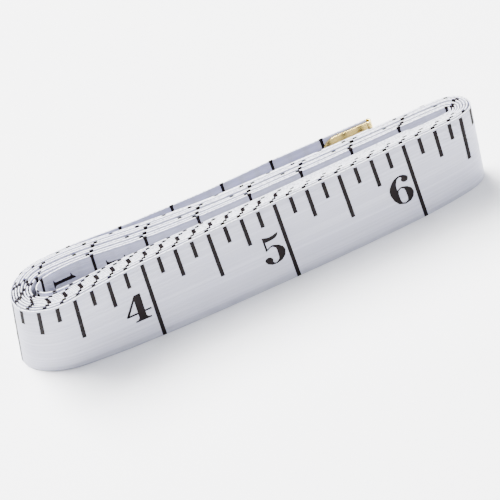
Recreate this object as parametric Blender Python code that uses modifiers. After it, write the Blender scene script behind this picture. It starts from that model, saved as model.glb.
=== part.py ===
"""Soft tailor's tape measure, wound flat into an oblong hank that stands on its edge.

One long strip of coated glass-fibre cloth runs from its free inner end, round and round
a narrow open core, to a sprung outer tail. A folded brass clip closes the outer end.
The frame is in metres, +Z up: the hank stands on the strip's lower edge at Z = 0,
+X runs along the hank towards its tight fold, and the outer inch face looks towards -Y.
"""
import math

import bmesh
import bpy
import numpy as np
from mathutils import Vector

# ---------------------------------------------------------------- driving sizes, metres
TAPE_WIDTH = 0.020
TAPE_THICKNESS = 0.00026
HANK_LENGTH = 0.0888
TURNS = 8

# the open core, which the innermost turn goes round
ROUND_END_OPENING = 0.0042
FOLD_OPENING = 0.0010
MID_OPENING = 0.0015
ROUND_END_RISE = 0.00052

# air left between one turn and the next
FRONT_AIR = 0.00005
BULGE_AIR = 0.00010
BACK_AIR = 0.00022
ROUND_END_AIR = 0.00025
FOLD_AIR = 0.00026
CRESCENT_AIR = 0.0007
FOLD_LEAN = 0.00006

# how the slack comes in, in turns from the tight fold
CRESCENT_SPREAD = 0.035
CRESCENT_STARTS = 0.40
CRESCENT_FULL = 1.45
TAIL_LIFT_TURNS = 0.33

# the two free ends
INNER_END_SETBACK = 0.0074
END_CORNER_RADIUS = 0.0015
TAIL_LIFT = 0.0026
TAIL_END_SETBACK = 0.0178
HINGE_SETBACK = 0.0092
CUT_GAP = 0.0003

# the brass clip folded over the outer end
CLIP_LENGTH = 0.0093
CLIP_EDGE_MARGIN = 0.0005
CLIP_THICKNESS = 0.0003
CLIP_CLEARANCE = 0.0002
CLIP_CORNER_RADIUS = 0.0030
CLIP_STRAIGHT_SPARE = 0.0006
FOLD_PIECES = 6
CORNER_PIECES = 5

# ---------------------------------------------------------------- fits worked out from them
ROUND_END_PITCH = TAPE_THICKNESS + ROUND_END_AIR
FOLD_PITCH = TAPE_THICKNESS + FOLD_AIR
HALF_THICKNESS = TAPE_THICKNESS / 2.0
HALF_TURN = 0.5
LEFT_TURNS = TURNS + HALF_TURN
CORE_LEFT = -HANK_LENGTH / 2.0 + LEFT_TURNS * ROUND_END_PITCH + CRESCENT_AIR + HALF_THICKNESS
CORE_RIGHT = HANK_LENGTH / 2.0 - TURNS * FOLD_PITCH - HALF_THICKNESS
CORE_LENGTH = CORE_RIGHT - CORE_LEFT
CLIP_STRAIGHT = CLIP_LENGTH + CLIP_STRAIGHT_SPARE


def core_stations():
    """Stations round the innermost turn, clockwise from above, starting at the tight fold.

    Each is (x, y, air to the next turn, straight pieces on the way to the next station).
    """
    fold_radius = FOLD_OPENING / 2.0
    fold_share = fold_radius / CORE_LENGTH
    shoulder = ROUND_END_OPENING * 0.15
    front = [  # share of the core's length, y of the front run, air, pieces
        (fold_share, 0.0, FRONT_AIR, 2),
        (0.105, -0.00002, FRONT_AIR, 3),
        (0.235, 0.00003, FRONT_AIR, 4),
        (0.490, 0.00022, FRONT_AIR, 4),
        (0.740, 0.00080, BULGE_AIR, 4),
        (0.890, 0.00062, BULGE_AIR * 1.5, 3),
        (0.955, ROUND_END_RISE, BULGE_AIR * 1.6, 5),
        (0.987, ROUND_END_RISE + shoulder, BULGE_AIR * 1.6, 5),
    ]
    back = [  # share of the core's length, opening across the core, air, pieces
        (0.987, ROUND_END_OPENING * 0.98 - 2.0 * shoulder, BACK_AIR, 5),
        (0.955, ROUND_END_OPENING * 0.98, BACK_AIR, 3),
        (0.890, ROUND_END_OPENING * 0.97, BACK_AIR, 4),
        (0.740, MID_OPENING + 0.22 * (ROUND_END_OPENING - MID_OPENING), BACK_AIR, 4),
        (0.490, MID_OPENING, BACK_AIR * 0.55, 4),
        (0.235, MID_OPENING - 0.35 * (MID_OPENING - FOLD_OPENING), BACK_AIR * 0.36, 4),
        (0.105, MID_OPENING - 0.45 * (MID_OPENING - FOLD_OPENING), BACK_AIR * 0.24, 3),
        (fold_share, FOLD_OPENING, BACK_AIR * 0.2, 4),
    ]
    heights = {station[0]: station[1] for station in front}
    stations = []
    for angle in (math.radians(45.0), 0.0, math.radians(-45.0)):
        x = CORE_RIGHT - fold_radius + fold_radius * math.cos(angle)
        stations.append((x, fold_radius + fold_radius * math.sin(angle), FRONT_AIR, 4))
    for share, y, air, pieces in front:
        stations.append((CORE_RIGHT - share * CORE_LENGTH, y, air, pieces))
    middle = ROUND_END_RISE + ROUND_END_OPENING * 0.49
    stations.append((CORE_LEFT, middle, BACK_AIR, 5))
    for share, opening, air, pieces in back:
        stations.append((CORE_RIGHT - share * CORE_LENGTH, heights[share] + opening, air, pieces))
    return stations


def closed_spline(values, knots, at):
    """Periodic cubic through values at the knots (the last knot closes the loop)."""
    count = len(values)
    spans = np.diff(knots)
    matrix = np.zeros((count, count))
    right = np.zeros((count, values.shape[1]))
    for i in range(count):
        before, after = spans[i - 1], spans[i]
        matrix[i, i - 1] += before
        matrix[i, i] += 2.0 * (before + after)
        matrix[i, (i + 1) % count] += after
        rise = (values[(i + 1) % count] - values[i]) / after
        run_in = (values[i] - values[i - 1]) / before
        right[i] = 6.0 * (rise - run_in)
    bend = np.linalg.solve(matrix, right)
    found = []
    for place in at:
        i = min(int(np.searchsorted(knots, place, side="right")) - 1, count - 1)
        width = spans[i]
        a = (knots[i + 1] - place) / width
        b = 1.0 - a
        j = (i + 1) % count
        curve = ((a**3 - a) * bend[i] + (b**3 - b) * bend[j]) * width * width / 6.0
        found.append(a * values[i] + b * values[j] + curve)
    return np.array(found)


def core_loop():
    """Points, outward normals, growth per turn and share of the turn, along the innermost turn."""
    stations = core_stations()
    points = np.array([station[:2] for station in stations])
    steps = np.linalg.norm(np.roll(points, -1, axis=0) - points, axis=1)
    knots = np.concatenate([[0.0], np.cumsum(np.sqrt(steps))])
    places = []
    air = []
    for i, station in enumerate(stations):
        following = stations[(i + 1) % len(stations)]
        for k in range(station[3]):
            share = k / station[3]
            places.append(knots[i] + share * (knots[i + 1] - knots[i]))
            smooth = share * share * (3.0 - 2.0 * share)
            air.append(station[2] + smooth * (following[2] - station[2]))
    spots = closed_spline(points, knots, places)
    ahead = np.roll(spots, -1, axis=0) - np.roll(spots, 1, axis=0)
    ahead /= np.linalg.norm(ahead, axis=1)[:, None]
    outward = np.stack([-ahead[:, 1], ahead[:, 0]], axis=1)
    lengths = np.linalg.norm(np.roll(spots, -1, axis=0) - spots, axis=1)
    share = np.concatenate([[0.0], np.cumsum(lengths)[:-1]]) / lengths.sum()
    side_pitch = TAPE_THICKNESS + np.array(air)
    end_pitch = np.where(outward[:, 0] > 0.0, FOLD_PITCH, ROUND_END_PITCH)
    step = outward * np.stack([end_pitch, side_pitch], axis=1)
    step[:, 1] -= FOLD_LEAN * np.maximum(outward[:, 0], 0.0) ** 2
    return spots, outward, step, share


def smoothstep(low, high, value):
    t = min(max((value - low) / (high - low), 0.0), 1.0)
    return t * t * (3.0 - 2.0 * t)


def winding():
    """The strip's centreline in plan, from the inner end's turn to the tail's turn."""
    spots, outward, step, share = core_loop()
    path = []
    for turn in range(TURNS + 1):
        for i in range(len(spots)):
            wound = turn + share[i]
            spot = spots[i] + step[i] * wound
            # the innermost turn has sprung away from the next one at the round end
            near_round_end = math.exp(-((share[i] - HALF_TURN) / CRESCENT_SPREAD) ** 2)
            crescent = CRESCENT_AIR * near_round_end
            slack = crescent * smoothstep(CRESCENT_STARTS, CRESCENT_FULL, wound)
            # the last stretch stands off the bundle
            slack += TAIL_LIFT * smoothstep(LEFT_TURNS, LEFT_TURNS + TAIL_LIFT_TURNS, wound)
            path.append((wound, Vector(spot + outward[i] * slack)))
    return path


def cut_at_x(path, x, lowest, highest):
    """The point of the path at a given x, between two amounts of winding."""
    for (start_turn, start), (end_turn, end) in zip(path, path[1:]):
        if lowest <= start_turn and end_turn <= highest and (start.x - x) * (end.x - x) <= 0.0:
            share = (x - start.x) / (end.x - start.x)
            return start_turn + share * (end_turn - start_turn), start.lerp(end, share)
    raise ValueError("the winding does not pass there")


def stretch(path, first, last):
    """Plan points from one cut to another."""
    closest = TAPE_THICKNESS
    points = [first[1]]
    for turn, point in path:
        if first[0] < turn < last[0] and (point - points[-1]).length > closest:
            points.append(point)
    if (points[-1] - last[1]).length < closest:
        points.pop()
    points.append(last[1])
    return points


# ---------------------------------------------------------------- mesh helpers
def material(name, colour, roughness, metallic):
    made = bpy.data.materials.new(name)
    made.use_nodes = True
    shader = made.node_tree.nodes["Principled BSDF"]
    shader.inputs["Base Color"].default_value = (*colour, 1.0)
    shader.inputs["Roughness"].default_value = roughness
    shader.inputs["Metallic"].default_value = metallic
    return made


def upright_sheet(points, bottom, top):
    """An open sheet that stands on a plan line."""
    sheet = bmesh.new()
    lower = [sheet.verts.new((point.x, point.y, bottom)) for point in points]
    edges = [sheet.edges.new(pair) for pair in zip(lower, lower[1:])]
    raised = bmesh.ops.extrude_edge_only(sheet, edges=edges)["geom"]
    moved = [item for item in raised if isinstance(item, bmesh.types.BMVert)]
    bmesh.ops.translate(sheet, verts=moved, vec=(0.0, 0.0, top - bottom))
    return sheet


def round_corners(sheet, plan_point, radius):
    """Rounds the sheet's two corners that stand at a plan point."""
    corners = []
    for vertex in sheet.verts:
        if (vertex.co.xy - plan_point).length < 1e-6:
            corners.append(vertex)
    bmesh.ops.bevel(sheet, geom=corners, offset=radius, segments=CORNER_PIECES, profile=0.5,
                    affect="VERTICES", clamp_overlap=True, material=-1)


def solid(name, sheet, thickness, finish, collection, origin):
    """Gives a sheet its thickness; the object's origin goes to the given place."""
    bmesh.ops.recalc_face_normals(sheet, faces=sheet.faces)
    bmesh.ops.translate(sheet, verts=sheet.verts, vec=-origin)
    mesh = bpy.data.meshes.new(name)
    sheet.to_mesh(mesh)
    sheet.free()
    mesh.materials.append(finish)
    mesh.shade_smooth()
    mesh.set_sharp_from_angle(angle=math.radians(35.0))
    made = bpy.data.objects.new(name, mesh)
    made.location = origin
    collection.objects.link(made)
    wall = made.modifiers.new("wall", "SOLIDIFY")
    wall.thickness = thickness
    wall.offset = 0.0
    wall.use_even_offset = True
    return made


for old in list(bpy.data.objects):
    bpy.data.objects.remove(old, do_unlink=True)
parts = bpy.data.collections.new("tape_measure")
bpy.context.scene.collection.children.link(parts)

coated_cloth = material("coated_cloth", (0.80, 0.81, 0.85), 0.42, 0.0)
polished_brass = material("polished_brass", (0.86, 0.68, 0.30), 0.22, 1.0)

# ---------------------------------------------------------------- the strip's route
route = winding()
inner_end = cut_at_x(route, CORE_RIGHT - INNER_END_SETBACK, 0.0, 0.5)
hinge_x = -HANK_LENGTH / 2.0 + HINGE_SETBACK
wound_end = cut_at_x(route, hinge_x - CUT_GAP / 2.0, LEFT_TURNS, TURNS + 1.0)
tail_start = cut_at_x(route, hinge_x + CUT_GAP / 2.0, LEFT_TURNS, TURNS + 1.0)
straight_x = HANK_LENGTH / 2.0 - TAIL_END_SETBACK - CLIP_STRAIGHT
tail_straight = cut_at_x(route, straight_x, LEFT_TURNS, TURNS + 1.0)

hank_points = stretch(route, inner_end, wound_end)
tail_points = stretch(route, tail_start, tail_straight)
tail_way = (tail_points[-1] - tail_points[-3]).normalized()
tail_tip = tail_points[-1] + tail_way * CLIP_STRAIGHT
tail_points.append(tail_tip)

# centre the whole strip on the origin
every_y = [point.y for point in hank_points + tail_points]
every_x = [point.x for point in hank_points + tail_points]
centre = Vector(((min(every_x) + max(every_x)) / 2.0, (min(every_y) + max(every_y)) / 2.0))
hank_points = [point - centre for point in hank_points]
tail_points = [point - centre for point in tail_points]
tail_tip = tail_points[-1]

# ---------------------------------------------------------------- wound strip
wound = upright_sheet(hank_points, 0.0, TAPE_WIDTH)
round_corners(wound, hank_points[0], END_CORNER_RADIUS)
tape_hank = solid("tape_hank", wound, TAPE_THICKNESS, coated_cloth, parts, Vector((0.0, 0.0, 0.0)))

# ---------------------------------------------------------------- sprung tail
# the tail turns about the strip's outer face, half way across the cut
cut_middle = (hank_points[-1] + tail_points[0]) / 2.0
cut_way = (tail_points[0] - hank_points[-1]).normalized()
outer_side = Vector((-cut_way.y, cut_way.x))
hinge = cut_middle + outer_side * HALF_THICKNESS
hinge_origin = Vector((hinge.x, hinge.y, 0.0))
tail = upright_sheet(tail_points, 0.0, TAPE_WIDTH)
tape_outer_tail = solid("tape_outer_tail", tail, TAPE_THICKNESS, coated_cloth, parts, hinge_origin)

# ---------------------------------------------------------------- brass clip
# one strip of sheet brass folded over the end, plates rounded at their free corners
plate_offset = HALF_THICKNESS + CLIP_CLEARANCE + CLIP_THICKNESS / 2.0
side = Vector((-tail_way.y, tail_way.x))
fold_middle = tail_tip + tail_way * CLIP_CLEARANCE
plate_root = tail_tip - tail_way * (CLIP_LENGTH - CLIP_CLEARANCE)
profile = [plate_root + side * plate_offset]
for step in range(FOLD_PIECES + 1):
    angle = math.pi * step / FOLD_PIECES
    reach = tail_way * (math.sin(angle) * plate_offset) + side * (math.cos(angle) * plate_offset)
    profile.append(fold_middle + reach)
profile.append(plate_root - side * plate_offset)
clip = upright_sheet(profile, CLIP_EDGE_MARGIN, TAPE_WIDTH - CLIP_EDGE_MARGIN)
round_corners(clip, profile[0], CLIP_CORNER_RADIUS)
round_corners(clip, profile[-1], CLIP_CORNER_RADIUS)
outer_tip_clip = solid("outer_tip_clip", clip, CLIP_THICKNESS, polished_brass, parts, hinge_origin)
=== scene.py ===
"""A soft tailor's tape measure, wound flat and standing on its edge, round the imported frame."""

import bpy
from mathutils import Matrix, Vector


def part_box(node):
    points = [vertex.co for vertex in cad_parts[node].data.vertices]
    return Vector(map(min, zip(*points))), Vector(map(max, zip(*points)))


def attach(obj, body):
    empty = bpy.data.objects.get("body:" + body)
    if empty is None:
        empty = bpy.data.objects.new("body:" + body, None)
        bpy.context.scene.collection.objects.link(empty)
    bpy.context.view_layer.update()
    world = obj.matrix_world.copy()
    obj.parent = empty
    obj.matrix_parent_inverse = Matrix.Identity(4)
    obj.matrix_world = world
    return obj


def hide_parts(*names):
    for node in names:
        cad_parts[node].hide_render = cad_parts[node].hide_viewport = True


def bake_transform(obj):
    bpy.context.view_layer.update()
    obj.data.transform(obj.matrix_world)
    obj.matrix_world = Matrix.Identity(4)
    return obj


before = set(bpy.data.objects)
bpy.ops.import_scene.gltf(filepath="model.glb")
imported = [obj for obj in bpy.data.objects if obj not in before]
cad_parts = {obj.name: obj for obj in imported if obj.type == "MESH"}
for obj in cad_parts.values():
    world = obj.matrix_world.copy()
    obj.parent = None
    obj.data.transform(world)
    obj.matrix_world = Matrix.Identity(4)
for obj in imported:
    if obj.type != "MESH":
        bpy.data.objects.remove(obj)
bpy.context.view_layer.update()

import math

import bmesh
import bpy
import numpy as np
from mathutils import Matrix, Vector

# ---------------------------------------------------------------- table, light and camera
# A plain pale table with the tape standing on it, under a broad soft light from above and behind
# and a weaker one at each side. A long lens looks down on the front run.
MM = 0.001
TABLE_SIDE = 6.0
TABLE_DROP = 0.02 * MM
TABLE_GRAIN = 40.0
TABLE_TONES = ((0.93, 0.93, 0.94, 1.0), (0.96, 0.96, 0.97, 1.0))
ROOM_TINT = (0.93, 0.95, 1.0, 1.0)
ROOM_STRENGTH = 0.4
WARM_LAMP = (1.0, 0.995, 0.985)
COOL_LAMP = (0.94, 0.96, 1.0)
LOOK_AT = Vector((-2.06, -5.30, 11.495)) * MM
CAMERA_DISTANCE = 600 * MM
CAMERA_AZIMUTH = -6.296
CAMERA_DOWN = 46.227
CAMERA_ROLL = -20.280
CAMERA_LENS = 242.3


def node(tree, kind, feeds, **settings):
    """A shader node with its settings; feeds gives each input a socket or a plain value."""
    made = tree.nodes.new("ShaderNode" + kind)
    for name, value in settings.items():
        setattr(made, name, value)
    for socket, feed in feeds.items():
        if isinstance(feed, bpy.types.NodeSocket):
            tree.links.new(feed, made.inputs[socket])
        else:
            made.inputs[socket].default_value = feed
    return made


def calc(tree, operation, *values):
    return node(tree, "Math", dict(enumerate(values)), operation=operation).outputs[0]


def mixed(tree, share, first, second):
    """Goes from the first colour to the second as share goes from 0 to 1."""
    made = node(tree, "Mix", {0: share, 6: first, 7: second}, data_type="RGBA")
    return made.outputs[2]


def new_material(name):
    made = bpy.data.materials.new(name)
    made.use_nodes = True
    return made, made.node_tree, made.node_tree.nodes["Principled BSDF"]


def made_object(name, mesh_builder, *materials):
    """Turns a finished bmesh into an object at the origin."""
    mesh = bpy.data.meshes.new(name)
    mesh_builder.to_mesh(mesh)
    mesh_builder.free()
    for material in materials:
        mesh.materials.append(material)
    made = bpy.data.objects.new(name, mesh)
    bpy.context.scene.collection.objects.link(made)
    return made


def soft_light(name, place, side, watts, tint):
    lamp = bpy.data.lights.new(name, "AREA")
    lamp.shape = "SQUARE"
    lamp.size = side
    lamp.energy = watts
    lamp.color = tint
    made = bpy.data.objects.new(name, lamp)
    made.location = place
    made.rotation_euler = (LOOK_AT - Vector(place)).to_track_quat("-Z", "Y").to_euler()
    bpy.context.scene.collection.objects.link(made)


table_top = bmesh.new()
bmesh.ops.create_grid(table_top, x_segments=1, y_segments=1, size=TABLE_SIDE / 2.0,
                      matrix=Matrix.Translation((0.0, 0.0, -TABLE_DROP)))
table_white, tree, shader = new_material("table_white")
table_place = node(tree, "TexCoord", {}).outputs["Object"]
table_grain = node(tree, "TexNoise", {"Vector": table_place, "Scale": TABLE_GRAIN, "Detail": 4.0})
table_tone = mixed(tree, table_grain.outputs["Fac"], *TABLE_TONES)
tree.links.new(table_tone, shader.inputs["Base Color"])
shader.inputs["Roughness"].default_value = 0.8
made_object("table_top", table_top, table_white)

world = bpy.data.worlds.new("soft_room")
world.use_nodes = True
room = world.node_tree.nodes["Background"].inputs
room["Color"].default_value = ROOM_TINT
room["Strength"].default_value = ROOM_STRENGTH
bpy.context.scene.world = world
soft_light("key_light", place=(-0.5, 0.75, 1.6), side=1.3, watts=255.0, tint=WARM_LAMP)
soft_light("right_light", place=(1.6, -0.4, 0.7), side=1.0, watts=42.0, tint=COOL_LAMP)
soft_light("left_light", place=(-1.7, -0.2, 0.6), side=1.0, watts=10.0, tint=COOL_LAMP)

lens = bpy.data.cameras.new("camera")
lens.sensor_width = 36.0
lens.lens = CAMERA_LENS
camera = bpy.data.objects.new("camera", lens)
aim = (Matrix.Rotation(math.radians(CAMERA_AZIMUTH), 4, "Z")
       @ Matrix.Rotation(math.radians(90.0 - CAMERA_DOWN), 4, "X")
       @ Matrix.Rotation(math.radians(CAMERA_ROLL), 4, "Z"))
camera.matrix_world = (Matrix.Translation(LOOK_AT) @ aim
                       @ Matrix.Translation((0.0, 0.0, CAMERA_DISTANCE)))
bpy.context.scene.collection.objects.link(camera)
bpy.context.scene.camera = camera

# ---------------------------------------------------------------- the winding
# The strip is slit and printed flat, then wound by hand, so all of it is made flat first: X is the
# length from the clipped end, Y the height above the lower edge, Z out of the inch face. The line
# that it is wound along is read off the two CAD solids.
TAPE_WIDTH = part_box("tape_hank")[1].z
TAPE_THICKNESS = 0.24 * MM
INNER_CORNER = 1.5 * MM
WELD = 0.001 * MM
LEVEL = 0.9999
LINE_STEP = 0.1 * MM
PARTS_PER_KNOT = 12
BEND_SPAN = 7


def strip_line(name):
    """A CAD strip's centreline in plan, from one square end to the other."""
    solid = bmesh.new()
    solid.from_mesh(bpy.data.objects[name].data)
    bmesh.ops.remove_doubles(solid, verts=solid.verts, dist=WELD)
    solid.normal_update()
    beside = {}
    for edge in solid.edges:
        on_floor = max(abs(vert.co.z) for vert in edge.verts) < WELD
        level = sum(abs(face.normal.z) > LEVEL for face in edge.link_faces)
        if on_floor and level == 1:
            for vert in edge.verts:
                beside.setdefault(vert, []).append(edge.other_vert(vert))
    rim = [next(iter(beside))]
    previous = beside[rim[0]][0]
    while True:
        first, second = beside[rim[-1]]
        following = second if first is previous else first
        if following is rim[0]:
            break
        previous = rim[-1]
        rim.append(following)
    spots = np.array([vert.co.xy for vert in rim])
    solid.free()
    ahead = np.roll(spots, -1, axis=0) - spots
    behind = np.roll(ahead, 1, axis=0)
    turned = np.abs(np.arctan2(behind[:, 0] * ahead[:, 1] - behind[:, 1] * ahead[:, 0],
                               (behind * ahead).sum(axis=1)))
    end = int(np.argmax(turned + np.roll(turned, -1)))
    spots = np.roll(spots, -(end + 1), axis=0)
    half = len(spots) // 2
    return (spots[:half] + spots[::-1][:half]) / 2.0


def starting_near(line, spot):
    """The same line, turned round if its far end is the nearer one."""
    first, last = (np.hypot(*(line[end] - spot)) for end in (0, -1))
    return line[::-1] if first > last else line


clip_middle = sum((Vector(corner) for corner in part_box("outer_tip_clip")), Vector()) / 2.0
tail_line = starting_near(strip_line("tape_outer_tail"), clip_middle.xy)
hank_line = starting_near(strip_line("tape_hank"), tail_line[-1])
CUT_AT = np.hypot(*np.diff(tail_line, axis=0).T).sum()
inner_way = (hank_line[-1] - hank_line[-2]) / np.hypot(*(hank_line[-1] - hank_line[-2]))
knots = np.concatenate([tail_line, hank_line, [hank_line[-1] + inner_way * INNER_CORNER]])


def smooth_line(knots, step):
    """Even steps along a curve through all the knots, and the unit way out of the inch face."""
    padded = np.concatenate([[2 * knots[0] - knots[1]], knots, [2 * knots[-1] - knots[-2]]])
    pace = np.sqrt(np.hypot(*np.diff(padded, axis=0).T))
    dense = []
    for i in range(1, len(padded) - 2):
        p0, p1, p2, p3 = padded[i - 1:i + 3]
        d0, d1, d2 = pace[i - 1:i + 2]
        into = ((p1 - p0) / d0 - (p2 - p0) / (d0 + d1) + (p2 - p1) / d1) * d1
        out = ((p2 - p1) / d1 - (p3 - p1) / (d1 + d2) + (p3 - p2) / d2) * d1
        t = np.linspace(0.0, 1.0, PARTS_PER_KNOT, endpoint=False)[:, None]
        dense.append((2 * t**3 - 3 * t**2 + 1) * p1 + (t**3 - 2 * t**2 + t) * into
                     + (3 * t**2 - 2 * t**3) * p2 + (t**3 - t**2) * out)
    dense = np.concatenate([*dense, knots[-1:]])
    reached = np.concatenate([[0.0], np.cumsum(np.hypot(*np.diff(dense, axis=0).T))])
    count = int(round(reached[-1] / step))
    along = np.linspace(0.0, reached[-1], count + 1)
    even = np.stack([np.interp(along, reached, dense[:, k]) for k in (0, 1)], axis=1)
    way = np.gradient(even, axis=0)
    way /= np.hypot(*way.T)[:, None]
    return along, even, np.stack([way[:, 1], -way[:, 0]], axis=1)


line_along, line_spots, line_out = smooth_line(knots, LINE_STEP)
TAPE_LENGTH = line_along[-1]
angles = np.unwrap(np.arctan2(line_out[:, 1], line_out[:, 0]))
bend = np.abs(np.gradient(angles, line_along))
bend = np.convolve(bend, np.ones(BEND_SPAN) / BEND_SPAN, mode="same")
turns_at = np.abs(angles - angles[0]) / (2.0 * math.pi)

# The soft turns lean where they bend: how far the lower edge strays along X and Y, by X. The
# tables are smoothed, so that no turn creases at a knot.
LEAN_AT = np.array([-46.0, -38.0, -30.0, -21.0, -5.0, 4.5, 15.0, 30.0, 38.0, 46.0]) * MM
LEAN_ALONG = np.array([-2.8, -2.0, -1.1, -0.8, 0.0, 0.0, 0.3, 0.5, 0.1, -0.9]) * MM
LEAN_BACK = np.array([5.4, 3.9, 1.8, 0.5, 0.0, 0.0, 0.0, 0.2, 1.1, 2.1]) * MM
LEAN_SAMPLES = 200
LEAN_SPREAD = 31
lean_at = np.linspace(LEAN_AT[0], LEAN_AT[-1], LEAN_SAMPLES)
spread = np.hanning(LEAN_SPREAD) / np.hanning(LEAN_SPREAD).sum()
lean_along, lean_back = (
    np.convolve(np.pad(np.interp(lean_at, LEAN_AT, stray), LEAN_SPREAD // 2, mode="edge"),
                spread, "valid")
    for stray in (LEAN_ALONG, LEAN_BACK))

# Friction holds some turns a little above the table: how far, by turns from the clip.
LIFT_TURNS = np.array([0.75, 1.0, 1.25, 1.5, 2.0, 2.5, 3.0, 3.5, 4.0, 4.5, 5.0, 5.5, 6.0, 6.5, 7.0])
LIFT = np.array([0.0, 0.25, 0.1, 0.2, 0.40, 0.26, 0.36, 0.14, 0.42, 0.1, 0.12, 0.04, 0.18, 0.0,
                 0.0]) * MM


def turns_to(places):
    """Turns wound from the clipped end to each place along the tape."""
    return np.interp(places, line_along, turns_at)


def wind(flat):
    """Carries flat points (length, height, way out) on to the winding."""
    flat = np.asarray(flat, float).reshape(-1, 3)
    place = np.stack([np.interp(flat[:, 0], line_along, line_spots[:, k]) for k in (0, 1)], axis=1)
    out = np.stack([np.interp(flat[:, 0], line_along, line_out[:, k]) for k in (0, 1)], axis=1)
    out /= np.hypot(*out.T)[:, None]
    # past either end it runs on straight
    over = (flat[:, 0] - np.clip(flat[:, 0], 0.0, TAPE_LENGTH))[:, None]
    place = place + out * flat[:, 2:3] + np.stack([-out[:, 1], out[:, 0]], axis=1) * over
    lean = np.stack([np.interp(place[:, 0], lean_at, lean_along),
                     np.interp(place[:, 0], lean_at, lean_back)], axis=1)
    place += lean * (1.0 - flat[:, 1:2] / TAPE_WIDTH)
    lift = np.interp(turns_to(flat[:, 0]), LIFT_TURNS, LIFT)
    return np.concatenate([place, flat[:, 1:2] + lift[:, None]], axis=1)


def wind_mesh(shape):
    """Winds every corner of a mesh that was made flat."""
    flat = np.array([vert.co for vert in shape.verts])
    for vert, spot in zip(shape.verts, wind(flat)):
        vert.co = spot


# Stations along the strip, close together where it turns tightly.
TURN_PER_STATION = 0.16
SHORTEST_STATION = 0.13 * MM
LONGEST_STATION = 1.3 * MM
LOOK_AHEAD = 0.2 * MM
GENTLEST_BEND = 1.0
stations = [0.0]
while stations[-1] < TAPE_LENGTH:
    tightest = max(np.interp(stations[-1] + LOOK_AHEAD, line_along, bend), GENTLEST_BEND)
    step = min(max(TURN_PER_STATION / tightest, SHORTEST_STATION), LONGEST_STATION)
    stations.append(stations[-1] + step)
stations[-1] = TAPE_LENGTH
stations = np.array(stations)

# ---------------------------------------------------------------- white tape
# One strip of glass-fibre cloth coated with white vinyl, 20 mm wide, slit with soft edges. The
# wound turns and the sprung tail are the same strip, parted where the tail starts to bend.
BLEND_LENGTH = 5.0 * MM
JOIN_AT = CUT_AT + BLEND_LENGTH
EDGE_ROUND = 0.08 * MM
FACE_ROWS = 5
HALF_STATION = 0.5
END_MARGIN = 0.05 * MM
CORNER_CUTS = (9.0, 27.0, 45.0, 63.0, 81.0)
CUT_SLACK = 0.0001 * MM
ON_EDGE = 0.7
TAPE_SHARP_FROM = 40.0


def edges_along(shape, axis, shortest):
    """The edges that run further than a given length along one axis."""
    return [edge for edge in shape.edges
            if abs(edge.verts[0].co[axis] - edge.verts[1].co[axis]) > shortest]


def round_over(shape, edges):
    """Takes the sharpness off edges, as slitting leaves them."""
    bmesh.ops.bevel(shape, geom=edges, offset=EDGE_ROUND, offset_type="OFFSET", segments=2,
                    profile=0.5, affect="EDGES", material=-1)


def flat_strip(start, end):
    """A flat length of tape with softened long edges and a ring of corners at each station.

    It is made one unit long from station to station, and then each ring is moved to its place.
    """
    inside = stations[(stations > start + END_MARGIN) & (stations < end - END_MARGIN)]
    places = np.concatenate([[start], inside, [end]])
    strip = bmesh.new()
    size = Matrix.Diagonal((len(places) - 1.0, TAPE_WIDTH, TAPE_THICKNESS, 1.0))
    middle = Matrix.Translation(((len(places) - 1.0) / 2.0, TAPE_WIDTH / 2.0, 0.0))
    bmesh.ops.create_cube(strip, size=1.0, matrix=middle @ size)
    bmesh.ops.subdivide_edges(strip, edges=edges_along(strip, 1, TAPE_WIDTH / 2.0),
                              cuts=FACE_ROWS - 1, use_grid_fill=True)
    round_over(strip, [edge for edge in edges_along(strip, 0, HALF_STATION)
                       if not EDGE_ROUND < edge.verts[0].co.y < TAPE_WIDTH - EDGE_ROUND])
    bmesh.ops.subdivide_edges(strip, edges=edges_along(strip, 0, HALF_STATION),
                              cuts=len(places) - 2, use_grid_fill=True)
    for vert in strip.verts:
        vert.co.x = places[int(round(vert.co.x))]
    return strip


def unroll(strip):
    """UVs in metres: U the length, V the way round the strip's section from its lower edge."""
    layer = strip.loops.layers.uv.new("length_and_girth")
    half = TAPE_THICKNESS / 2.0
    for face in strip.faces:
        out, up = face.normal.z, face.normal.y
        for loop in face.loops:
            x, y, z = loop.vert.co
            if up > ON_EDGE:
                girth = TAPE_WIDTH + half - z
            elif up < -ON_EDGE:
                girth = 2.0 * (TAPE_WIDTH + TAPE_THICKNESS) - half + z
            elif out < 0.0:
                girth = 2.0 * TAPE_WIDTH + TAPE_THICKNESS - y
            else:
                girth = y
            loop[layer].uv = (x, girth)


def soften(piece, degrees):
    """Shades a piece smoothly, but for edges that turn more than so many degrees."""
    piece.data.shade_smooth()
    piece.data.set_sharp_from_angle(angle=math.radians(degrees))


def trim_corners(sheet, end, low, high, radius):
    """Rounds off both corners of a flat sheet's far end."""
    for height, up in ((low + radius, -1.0), (high - radius, 1.0)):
        for degrees in CORNER_CUTS:
            turn = math.radians(degrees)
            out = Vector((math.cos(turn), up * math.sin(turn), 0.0))
            middle = Vector((end - radius, height, 0.0))
            bmesh.ops.bisect_plane(sheet, geom=[*sheet.verts, *sheet.edges, *sheet.faces],
                                   plane_co=middle + out * radius, plane_no=out,
                                   clear_outer=True, dist=CUT_SLACK)


def ramp(tree, value, start, end, low=0.0, high=1.0):
    """Goes from low to high as the value goes from start to end."""
    made = node(tree, "MapRange", {0: value, 1: start, 2: end, 3: low, 4: high})
    return made.outputs[0]


def bumped(tree, shader, height, strength, distance):
    """Gives a finish its relief."""
    made = node(tree, "Bump", {"Height": height, "Strength": strength, "Distance": distance})
    tree.links.new(made.outputs[0], shader.inputs["Normal"])


def product(tree, *values):
    """All the values multiplied together."""
    made = values[0]
    for value in values[1:]:
        made = calc(tree, "MULTIPLY", made, value)
    return made


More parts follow.
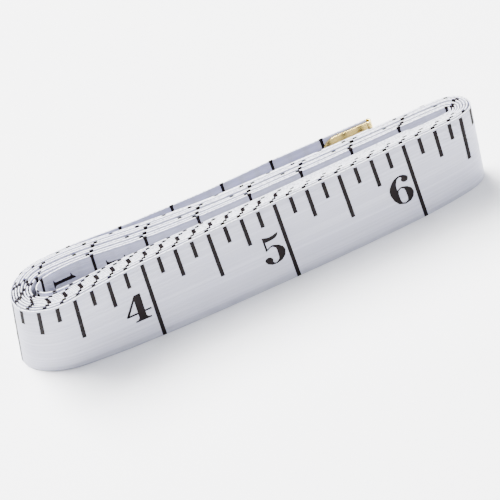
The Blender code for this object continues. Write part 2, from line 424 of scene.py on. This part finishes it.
def strip_noise(tree, on_strip, cells, detail):
    """Noise on the unrolled strip, with so many cells a metre along it and round it."""
    scaled = [product(tree, on_strip.outputs[axis], cells[axis]) for axis in (0, 1)]
    place = node(tree, "CombineXYZ", dict(enumerate(scaled))).outputs[0]
    made = node(tree, "TexNoise", {"Vector": place, "Scale": 1.0, "Detail": detail})
    return made.outputs["Fac"]


FACE_TONES = ((0.41, 0.415, 0.515, 1.0), (0.49, 0.495, 0.585, 1.0))
RIB_TONE = (0.66, 0.67, 0.76, 1.0)
# painted highlight: the lighter tone given to the upper cut edge only
PAINTED_EDGE_HIGHLIGHT = (0.72, 0.73, 0.79, 1.0)
# painted shade: dark flecks on the upper edge that stand in for the shadows between turns
SHADE_FLECK_TONE = (0.30, 0.30, 0.34, 1.0)
GHOST_TONE = (0.36, 0.36, 0.42, 1.0)
WEFT_PITCH = 0.8 * MM
WARP_PITCH = 0.6 * MM
WEAVE_HEIGHT = 0.06
VINYL_BUMP = (0.8, 0.2 * MM)
RIB_CELLS = (12.0, 1300.0)
RIB_CONTRAST = (0.42, 0.66)
RIB_SHARE = 0.5
CLOUD_CELLS = (60.0, 140.0)
CLOUD_CONTRAST = (0.3, 0.7)
FLECK_CELLS = (1.0 / (0.5 * MM), 1.0 / (0.3 * MM))
FLECK_CONTRAST = (0.49, 0.60)
FLECK_SHARE = 0.7
GHOST_SHARE = 0.20
GHOST_HALF_WIDTH = (0.30 * MM, 0.55 * MM)
GHOST_FADE = 0.3 * MM
EDGE_REACH = 0.9 * TAPE_THICKNESS
VINYL_ROUGHNESS = (0.36, 0.48)
INCH_START = -0.75 * MM
INCH_EIGHTH = 3.175 * MM
# how deep the ticks at odd eighths, odd quarters and halves are
INCH_TICKS = {1: 4.2 * MM, 2: 7.1 * MM, 4: 11.4 * MM}

white_vinyl, tree, shader = new_material("white_vinyl")
print_uv = node(tree, "UVMap", {}, uv_map="length_and_girth").outputs[0]
on_strip = node(tree, "SeparateXYZ", {0: print_uv})
length, girth = on_strip.outputs[0], on_strip.outputs[1]

# The coating follows the cloth's warp in faint lengthwise ribs, over a fine weave.
ribs = strip_noise(tree, on_strip, RIB_CELLS, 2.0)
weft = calc(tree, "SINE", product(tree, length, 2.0 * math.pi / WEFT_PITCH))
warp = calc(tree, "SINE", product(tree, girth, 2.0 * math.pi / WARP_PITCH))
weave = product(tree, weft, warp, WEAVE_HEIGHT)
bumped(tree, shader, calc(tree, "ADD", ribs, weave), *VINYL_BUMP)
clouds = strip_noise(tree, on_strip, CLOUD_CELLS, 3.0)
face_tone = mixed(tree, clouds, *FACE_TONES)
ribbed_tone = mixed(tree, ramp(tree, ribs, *RIB_CONTRAST, high=RIB_SHARE), face_tone, RIB_TONE)

# The eighths and halves of the inch print show faintly through on the other face.
from_top = calc(tree, "SUBTRACT", girth, TAPE_WIDTH + TAPE_THICKNESS)
behind_print = []
for eighths in (1, 4):
    pitch, depth = eighths * INCH_EIGHTH, INCH_TICKS[eighths]
    reading = calc(tree, "DIVIDE", calc(tree, "SUBTRACT", length, INCH_START), pitch)
    astray = product(tree, calc(tree, "PINGPONG", reading, 0.5), pitch)
    wide = ramp(tree, astray, *GHOST_HALF_WIDTH, 1.0, 0.0)
    deep = ramp(tree, from_top, depth, depth + GHOST_FADE, 1.0, 0.0)
    behind_print.append(product(tree, wide, deep))
other_face = calc(tree, "GREATER_THAN", girth, TAPE_WIDTH + TAPE_THICKNESS)
ghosts = product(tree, calc(tree, "MAXIMUM", *behind_print), other_face, GHOST_SHARE)
ghosted_tone = mixed(tree, ghosts, ribbed_tone, GHOST_TONE)

# The upper cut edge is painted whiter than the faces: a painted highlight where the light from
# above catches it.
over_top = calc(tree, "COMPARE", girth, TAPE_WIDTH + TAPE_THICKNESS / 2.0, EDGE_REACH)
highlit_edge_tone = mixed(tree, over_top, ghosted_tone, PAINTED_EDGE_HIGHLIGHT)
# Dark flecks along the upper edge are painted shade, standing in for the shadows in the gaps
# between the turns.
shade_flecks = ramp(tree, strip_noise(tree, on_strip, FLECK_CELLS, 1.0), *FLECK_CONTRAST)
vinyl_tone = mixed(tree, product(tree, shade_flecks, over_top, FLECK_SHARE), highlit_edge_tone, SHADE_FLECK_TONE)
tree.links.new(vinyl_tone, shader.inputs["Base Color"])
dull = ramp(tree, clouds, *CLOUD_CONTRAST, *VINYL_ROUGHNESS)
tree.links.new(dull, shader.inputs["Roughness"])
shader.inputs["Specular IOR Level"].default_value = 0.45
shader.inputs["Subsurface Weight"].default_value = 0.5
shader.inputs["Subsurface Radius"].default_value = (0.4, 0.4, 0.5)
shader.inputs["Subsurface Scale"].default_value = 1.0 * MM

strips = {}
for name, start, end in (("tail_tape", 0.0, JOIN_AT), ("wound_tape", JOIN_AT, TAPE_LENGTH)):
    strip = flat_strip(start, end)
    if name == "wound_tape":
        trim_corners(strip, TAPE_LENGTH, 0.0, TAPE_WIDTH, INNER_CORNER)
        bmesh.ops.holes_fill(strip, edges=[edge for edge in strip.edges if edge.is_boundary])
    strip.normal_update()
    unroll(strip)
    wind_mesh(strip)
    strips[name] = made_object(name, strip, white_vinyl)
    soften(strips[name], TAPE_SHARP_FROM)


def ride_on_tail(piece):
    """Bakes a piece of the tail's placement into its mesh."""
    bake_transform(piece)


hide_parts("tape_hank")
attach(strips["wound_tape"], "hank")
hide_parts("tape_outer_tail")
ride_on_tail(strips["tail_tape"])

# ---------------------------------------------------------------- printed scales
# Charcoal ink, rolled on flat before the tape was wound: inches on the outer face, with eighths,
# quarters and halves hung from the upper edge, and centimetres on the inner face, with their
# millimetres along the lower edge. Each stroke is a thin film that follows the winding.
INK_TONES = ((0.003, 0.002, 0.0022, 1.0), (0.010, 0.006, 0.007, 1.0))
INK_CLOUDS = 900.0
INK_BUMP = (0.2, 0.01 * MM)
CENTIMETRE_START = -1.5 * MM
# The roller ran a little fast: how far the print falls short, by reading.
CREEP_AT = np.array([
    0.0, 10.0, 25.0, 40.0, 60.0, 76.2, 79.4, 88.9, 101.6, 127.0, 152.4, 158.8, 161.9, 165.1,
    168.3, 200.0, 277.0, 459.0, 639.0, 816.0, 990.0, 1161.0, 1329.0, 1375.0, 1395.0, 1433.0,
    1600.0]) * MM
CREEP = np.array([
    0.0, 0.3, 0.0, -0.4, -0.6, -0.8, -1.2, -0.6, 0.1, 0.40, 0.20, 0.05, -0.25, -1.1,
    -1.7, -1.7, -1.64, -2.7, -3.5, -4.5, -5.3, -5.8, -5.0, -4.8, -6.4, -8.8,
    -8.8]) * MM
INK_PROUD = 0.02 * MM
INK_SUNK = 0.03 * MM
CENTIMETRE = 10.0 * MM
SCALE_INCHES = 60
SCALE_CENTIMETRES = 150
FIGURE_SMOOTHNESS = 3
TICK_TOP = 0.45 * MM
STROKE = 0.74 * MM
STROKE_FOOT = 0.05 * MM
NUMERAL_FOOT = 5.4 * MM
NUMERAL_GAP = 0.75 * MM
NUMERAL_SPACE = 0.45 * MM

# Numerals of a fat book face, drawn in millimetres at the inch size. Each outline is a closed
# run of points; c is a corner and r a point that the line passes smoothly.
NUMERALS = {
    "0": ["r2.15,7.6 r4.3,3.8 r2.15,0 r0,3.8", "r2.15,7.25 r2.8,3.8 r2.15,0.35 r1.5,3.8"],
    "1": ["c0,0 c3.4,0 c3.4,0.34 r2.75,0.44 c2.35,0.95 c2.35,7.6 c1.9,7.6 r1.2,6.85 c0.05,6.4"
          " c0.05,6.1 r0.6,6.1 c1.05,5.9 c1.05,0.95 r0.65,0.44 c0,0.34"],
    "2": ["c0,0 c0,0.45 r1.1,2.1 r2.5,4.1 r2.75,5.6 r2.0,7.22 r1.35,6.75 r1.6,5.85 r0.85,5.05"
          " r0.1,5.75 r0.65,7.05 r2.2,7.6 r4.25,5.6 r3.2,3.5 r1.45,1.8 r2.2,1.75 r3.3,1.3"
          " c4.0,2.4 c4.25,2.4 r4.0,0.9 c3.6,0"],
    "3": ["r2.0,7.6 r3.95,5.85 r2.8,4.1 r4.3,2.1 r2.0,0 r0.05,1.45 r0.8,2.2 r1.55,1.45 r1.35,0.75"
          " r2.0,0.36 r2.8,2.1 r2.1,3.85 c1.3,3.9 c1.3,4.22 r2.0,4.35 r2.5,5.85 r2.0,7.24"
          " r1.4,6.85 r1.6,6.15 r0.9,5.4 r0.2,6.15 r0.7,7.2"],
    "4": ["c0,2.6 c0,3 c2.3,7.7 c3.5,7.7 c3.5,3.05 c4.7,3.05 c4.7,2.6 c3.5,2.6 c3.5,1.55"
          " r3.8,1.1 c4.35,0.98 c4.35,0.6 c1.3,0.6 c1.3,0.98 r1.8,1.1 c2.1,1.55 c2.1,2.6",
          "c0.55,3.05 c2.1,6.3 c2.1,3.05"],
    "5": ["c0.75,7.5 r2.1,7.05 c3.85,7.5 r3.5,6.6 r2.5,6.15 c1.1,6.1 c1.1,4.3 r1.6,4.65 r2.35,4.8"
          " r4.2,2.55 r2.0,0 r0.0,1.5 r0.75,2.25 r1.5,1.5 r1.4,0.75 r2.0,0.35 r2.7,2.5 r2.2,4.45"
          " r1.3,4.15 c0.75,3.75"],
    "6": ["r2.35,7.4 r3.65,7.0 r4.05,6.1 r3.35,5.38 r2.63,6.1 r2.85,6.75 r2.45,7.03 r1.6,5.7"
          " c1.45,4.1 r2.45,4.55 r4.3,2.25 r2.2,0 r0,3.4 r0.8,6.3",
          "r2.2,4.2 r2.88,2.3 r2.25,0.36 r1.5,2.3"],
    "7": ["c0,7.6 c0.3,7.6 r0.9,7.3 r2.2,7.6 c4.4,7.6 c4.4,7.2 r3.2,4.6 r3.0,2.0 c3.05,0 c1.4,0"
          " r1.75,2.9 r3.4,6.0 r2.0,6.1 r0.8,6.0 c0.3,5.0 c0,5.0"],
    "8": ["r2.2,7.6 r4.0,5.9 r3.1,4.05 r4.35,1.95 r2.2,0 r0.05,1.9 r1.1,3.75 r0.35,5.75",
          "r2.25,7.26 r2.9,6.0 r2.5,4.55 r1.6,5.9", "r2.0,3.55 r2.95,1.75 r2.2,0.34 r1.35,1.85"],
}
NUMERALS["9"] = NUMERALS["6"]
SIX_SIZE = (4.3, 7.4)


def numeral(figure):
    """A figure as a thin film that stands on its own plane, and its width."""
    sketch = bpy.data.curves.new("figure", "CURVE")
    sketch.dimensions = "2D"
    sketch.fill_mode = "BOTH"
    sketch.resolution_u = FIGURE_SMOOTHNESS
    for outline in NUMERALS[figure]:
        marks = outline.split()
        spline = sketch.splines.new("BEZIER")
        spline.bezier_points.add(len(marks) - 1)
        spline.use_cyclic_u = True
        for point, mark in zip(spline.bezier_points, marks):
            x, y = (float(number) for number in mark[1:].split(","))
            if figure == "9":
                x, y = SIX_SIZE[0] - x, SIX_SIZE[1] - y
            point.co = (x * MM, y * MM, 0.0)
            kind = "VECTOR" if mark[0] == "c" else "AUTO"
            point.handle_left_type = point.handle_right_type = kind
    holder = bpy.data.objects.new("figure", sketch)
    bpy.context.scene.collection.objects.link(holder)
    bpy.context.view_layer.update()
    mesh = bpy.data.meshes.new_from_object(holder)
    bpy.data.objects.remove(holder)
    bpy.data.curves.remove(sketch)
    film = bmesh.new()
    film.from_mesh(mesh)
    bmesh.ops.remove_doubles(film, verts=film.verts, dist=WELD)
    raised = bmesh.ops.extrude_face_region(film, geom=film.faces[:], use_keep_orig=True)["geom"]
    moved = [item for item in raised if isinstance(item, bmesh.types.BMVert)]
    bmesh.ops.translate(film, verts=moved, vec=(0.0, 0.0, INK_PROUD + INK_SUNK))
    bmesh.ops.recalc_face_normals(film, faces=film.faces)
    film.to_mesh(mesh)
    film.free()
    return mesh, max(vert.co.x for vert in mesh.vertices)


figures = {figure: numeral(figure) for figure in "0123456789"}
scratch = bpy.data.meshes.new("scratch")
RING_MARGIN = 0.01 * MM


def lay_on(sheet, ink):
    """Cuts a flat piece of ink where the tape has its rings, so that both turn together."""
    places = [vert.co.x for vert in ink.verts]
    start, end = min(places) + RING_MARGIN, max(places) - RING_MARGIN
    for place in stations[(stations > start) & (stations < end)]:
        bmesh.ops.bisect_plane(ink, geom=[*ink.verts, *ink.edges, *ink.faces], dist=CUT_SLACK,
                               plane_co=(place, 0.0, 0.0), plane_no=(1.0, 0.0, 0.0))
    ink.to_mesh(scratch)
    ink.free()
    sheet.from_mesh(scratch)


def stroke(sheet, middle, foot, top, width, side):
    """A printed line across the tape; side is 1 on the inch face and -1 on the other."""
    low, high = TAPE_THICKNESS / 2.0 - INK_SUNK, TAPE_THICKNESS / 2.0 + INK_PROUD
    size = Matrix.Diagonal((width, top - foot, high - low, 1.0))
    place = Matrix.Translation((middle, (foot + top) / 2.0, side * (low + high) / 2.0))
    ink = bmesh.new()
    bmesh.ops.create_cube(ink, size=1.0, matrix=place @ size)
    lay_on(sheet, ink)


def print_figure(sheet, figure, place):
    """Prints one figure; place carries it from its own plane to the tape's face."""
    ink = bmesh.new()
    ink.from_mesh(figures[figure][0])
    bmesh.ops.transform(ink, matrix=place, verts=ink.verts)
    lay_on(sheet, ink)


def printed_at(start, reading):
    """Where on the tape a printed reading, in metres, comes."""
    return start + reading + float(np.interp(reading, CREEP_AT, CREEP))


def readings(start, pitch, count, first, last):
    """Each reading from 1 to count whose place is between first and last, with its place."""
    for reading in range(1, count + 1):
        place = printed_at(start, reading * pitch)
        if first <= place < last:
            yield reading, place


scale_ink, tree, shader = new_material("scale_ink")
ink_place = node(tree, "TexCoord", {}).outputs["Object"]
ink_cloud = node(tree, "TexNoise", {"Vector": ink_place, "Scale": INK_CLOUDS, "Detail": 3.0})
ink_tone = mixed(tree, ink_cloud.outputs["Fac"], *INK_TONES)
tree.links.new(ink_tone, shader.inputs["Base Color"])
bumped(tree, shader, ink_cloud.outputs["Fac"], *INK_BUMP)
shader.inputs["Roughness"].default_value = 0.6
shader.inputs["Specular IOR Level"].default_value = 0.06


def inch_scale(first, last):
    """The inch face's print between two places on the tape."""
    sheet = bmesh.new()
    top = TAPE_WIDTH - TICK_TOP
    for eighth, place in readings(INCH_START, INCH_EIGHTH, 8 * SCALE_INCHES, first, last):
        foot = top - INCH_TICKS[eighth & -eighth] if eighth % 8 else STROKE_FOOT
        stroke(sheet, place, foot, top, STROKE, 1)
    for inch, place in readings(INCH_START, 8 * INCH_EIGHTH, SCALE_INCHES, first, last):
        right = place - NUMERAL_GAP
        for figure in reversed(str(inch)):
            right -= figures[figure][1]
            spot = Matrix.Translation((right, NUMERAL_FOOT, TAPE_THICKNESS / 2.0 - INK_SUNK))
            print_figure(sheet, figure, spot)
            right -= NUMERAL_SPACE
    return sheet


CM_FIGURE_WIDE = 0.72
CM_FIGURE_TALL = 0.546
CM_ADVANCE = 3.5 * MM
CM_CENTRE = 7.2 * MM
CM_FOOT = 2.1 * MM
CM_STROKE = 0.55 * MM
CM_TOP = 0.08 * MM
MM_STROKE = 0.32 * MM
MM_FOOT = 0.15 * MM
MM_TICK = 2.8 * MM
FIVE_MM_TICK = 4.6 * MM
LIE_DOWN = Matrix(((0, -1, 0, 0), (-1, 0, 0, 0), (0, 0, -1, 0), (0, 0, 0, 1)))


def centimetre_scale(first, last):
    """The other face's print; its figures lie on their sides, tops towards the tape's start."""
    sheet = bmesh.new()
    for reading, place in readings(CENTIMETRE_START, MM, 10 * SCALE_CENTIMETRES, first, last):
        if reading % 10 == 0:
            stroke(sheet, place, STROKE_FOOT, TAPE_WIDTH - CM_TOP, CM_STROKE, -1)
        else:
            top = MM_TICK if reading % 5 else FIVE_MM_TICK
            stroke(sheet, place, MM_FOOT, top, MM_STROKE, -1)
    size = Matrix.Diagonal((CM_FIGURE_WIDE, CM_FIGURE_TALL, 1.0, 1.0))
    for number, place in readings(CENTIMETRE_START, CENTIMETRE, SCALE_CENTIMETRES, first, last):
        number = str(number)
        upper = TAPE_WIDTH - CM_CENTRE + CM_ADVANCE * len(number) / 2.0
        for i, figure in enumerate(number):
            width = figures[figure][1] * CM_FIGURE_WIDE
            left = upper - CM_ADVANCE * (i + 0.5) + width / 2.0
            spot = Matrix.Translation((place - CM_FOOT, left, INK_SUNK - TAPE_THICKNESS / 2.0))
            print_figure(sheet, figure, spot @ LIE_DOWN @ size)
    return sheet


EDGE_INK = 0.008 * MM
EDGE_DEPTH = 0.3 * MM
EDGE_MARK = 0.75 * MM
# Where the marks come, in turns and parts of a turn from the clipped end.
FRONT_STARTS = 0.42
FRONT_ENDS = 0.60
ROUND_END_STARTS = 0.12
BACK_ENDS = 0.2
BACK_STARTS = 0.8
FIRST_MARKED = 0.7
LEFT_OF = 8.0 * MM
RIGHT_FRONT_TURNS = (2, 3, 5)


def edge_mark(sheet, middle):
    """A dab of ink where a stroke runs over the upper cut edge."""
    size = Matrix.Diagonal((EDGE_MARK, EDGE_DEPTH + EDGE_INK, TAPE_THICKNESS + 2.0 * EDGE_INK, 1.0))
    place = Matrix.Translation((middle, TAPE_WIDTH + (EDGE_INK - EDGE_DEPTH) / 2.0, 0.0))
    ink = bmesh.new()
    bmesh.ops.create_cube(ink, size=1.0, matrix=place @ size)
    round_over(ink, [edge for edge in edges_along(ink, 0, EDGE_MARK / 2.0)
                     if edge.verts[0].co.y > TAPE_WIDTH])
    lay_on(sheet, ink)


def edge_ink(first, last):
    """Marks on the upper edge: eighths on the front run and round end, centimetres behind.

    At the right of the front run the ink reached the edge of some turns only.
    """
    sheet = bmesh.new()
    for _, place in readings(INCH_START, INCH_EIGHTH, 8 * SCALE_INCHES, first, last):
        turns = float(turns_to(place))
        at_right = float(np.interp(place, line_along, line_spots[:, 0])) >= LEFT_OF
        on_front = FRONT_STARTS < turns % 1.0 < FRONT_ENDS
        on_round_end = ROUND_END_STARTS < turns % 1.0 <= FRONT_STARTS
        if at_right and on_front and int(turns) + 1 in RIGHT_FRONT_TURNS:
            edge_mark(sheet, place)
        elif not at_right and turns > FIRST_MARKED and (on_front or on_round_end):
            edge_mark(sheet, place)
    for _, place in readings(CENTIMETRE_START, CENTIMETRE, SCALE_CENTIMETRES, first, last):
        if not BACK_ENDS < float(turns_to(place)) % 1.0 < BACK_STARTS:
            edge_mark(sheet, place)
    return sheet


FIRST_PRINT = 1.0 * MM
INK_WELD = 0.0005 * MM
prints = {"tail_tape": [], "wound_tape": []}
for tape, first, last in (("tail_tape", FIRST_PRINT, JOIN_AT),
                          ("wound_tape", JOIN_AT, TAPE_LENGTH)):
    for name, build in (("inch_print", inch_scale), ("centimetre_print", centimetre_scale),
                        ("edge_ink", edge_ink)):
        sheet = build(first, last)
        wind_mesh(sheet)
        bmesh.ops.remove_doubles(sheet, verts=sheet.verts, dist=INK_WELD)
        printed = made_object(f"{name}_{tape.split('_')[0]}", sheet, scale_ink)
        prints[tape].append(printed)
for printed in prints["wound_tape"]:
    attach(printed, "hank")
for printed in prints["tail_tape"]:
    ride_on_tail(printed)

# ---------------------------------------------------------------- brass clip
# One piece of thin sheet brass folded over the tape's end: two plates with rounded corners pinched
# on to the cloth, a round bead at the fold, and punched dimples that keep it from pulling off.
CLIP_SHEET = 0.26 * MM
CLIP_PLATE = 9.1 * MM
CLIP_LOW = 0.5 * MM
CLIP_HIGH = TAPE_WIDTH - CLIP_LOW
CLIP_CORNER = 3.0 * MM
PINCH_GAP = 0.04 * MM
PLATE_OFF = TAPE_THICKNESS / 2.0 + PINCH_GAP + CLIP_SHEET / 2.0
BEAD_MIDDLE = -0.33 * MM
BEAD_RADIUS = 0.42 * MM
BEAD_ANGLES = range(135, -136, -30)
CREASE_AT = 0.12 * MM
CREASE_LENGTH = 0.35 * MM
CREASE_OFF = 0.9 * PLATE_OFF
# how finely the plates are divided along the tape and across it
PLATE_CUTS = (29, 63)
CLIP_EDGE_ROUND = 0.05 * MM
CLIP_SHARP_FROM = 50.0
BRASS_CLOUDS = 350.0
SCUFF_CELLS = (300.0, 300.0, 9000.0)
SCUFF_CONTRAST = (0.3, 0.7)
SCUFF_BUMP = (0.4, 0.02 * MM)
BRASS_TONES = ((0.84, 0.62, 0.17, 1.0), (0.91, 0.73, 0.27, 1.0))
BRASS_ROUGHNESS = (0.20, 0.34)
DIMPLES = ((6.6 * MM, 5.5 * MM), (6.6 * MM, 14.5 * MM))
DIMPLE_RADIUS = 0.9 * MM
DIMPLE_DEPTH = 0.2 * MM

clip = bmesh.new()
section = [(CLIP_PLATE, PLATE_OFF), (CREASE_AT + CREASE_LENGTH, PLATE_OFF),
           (CREASE_AT, CREASE_OFF)]
for degrees in BEAD_ANGLES:
    turn = math.radians(degrees)
    section.append((BEAD_MIDDLE - BEAD_RADIUS * math.cos(turn), BEAD_RADIUS * math.sin(turn)))
section += [(x, -z) for x, z in section[2::-1]]
line = [clip.verts.new((x, CLIP_LOW, z)) for x, z in section]
edges = [clip.edges.new(pair) for pair in zip(line, line[1:])]
raised = bmesh.ops.extrude_edge_only(clip, edges=edges)["geom"]
bmesh.ops.translate(clip, verts=[item for item in raised if isinstance(item, bmesh.types.BMVert)],
                    vec=(0.0, CLIP_HIGH - CLIP_LOW, 0.0))
for axis, cuts in enumerate(PLATE_CUTS):
    bmesh.ops.subdivide_edges(clip, edges=edges_along(clip, axis, CLIP_PLATE / 2.0), cuts=cuts,
                              use_grid_fill=True)
trim_corners(clip, CLIP_PLATE, CLIP_LOW, CLIP_HIGH, CLIP_CORNER)
for vert in clip.verts:
    for along, height in DIMPLES:
        away = math.hypot(vert.co.x - along, vert.co.y - height) / DIMPLE_RADIUS
        if away < 1.0:
            dent = DIMPLE_DEPTH * (1.0 - away * away) ** 2
            vert.co.z -= math.copysign(dent, vert.co.z)
wind_mesh(clip)
bmesh.ops.recalc_face_normals(clip, faces=clip.faces)

pale_brass, tree, shader = new_material("pale_brass")
brass_place = node(tree, "TexCoord", {}).outputs["Object"]
brass_cloud = node(tree, "TexNoise", {"Vector": brass_place, "Scale": BRASS_CLOUDS, "Detail": 3.0})
brass_tone = mixed(tree, brass_cloud.outputs["Fac"], *BRASS_TONES)
tree.links.new(brass_tone, shader.inputs["Base Color"])
stretched = node(tree, "Mapping", {"Vector": brass_place, "Scale": SCUFF_CELLS})
scuffs = node(tree, "TexNoise", {"Vector": stretched.outputs[0], "Scale": 1.0, "Detail": 2.0})
bumped(tree, shader, scuffs.outputs["Fac"], *SCUFF_BUMP)
dull = ramp(tree, scuffs.outputs["Fac"], *SCUFF_CONTRAST, *BRASS_ROUGHNESS)
tree.links.new(dull, shader.inputs["Roughness"])
shader.inputs["Metallic"].default_value = 1.0
end_clip = made_object("end_clip", clip, pale_brass)
wall = end_clip.modifiers.new("sheet_thickness", "SOLIDIFY")
wall.thickness = CLIP_SHEET
wall.offset = 0.0
rounded = end_clip.modifiers.new("rounded_edges", "BEVEL")
rounded.width = CLIP_EDGE_ROUND
rounded.segments = 2
rounded.limit_method = "ANGLE"
rounded.angle_limit = math.radians(CLIP_SHARP_FROM)
soften(end_clip, CLIP_SHARP_FROM)
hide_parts("outer_tip_clip")
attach(end_clip, "tail")
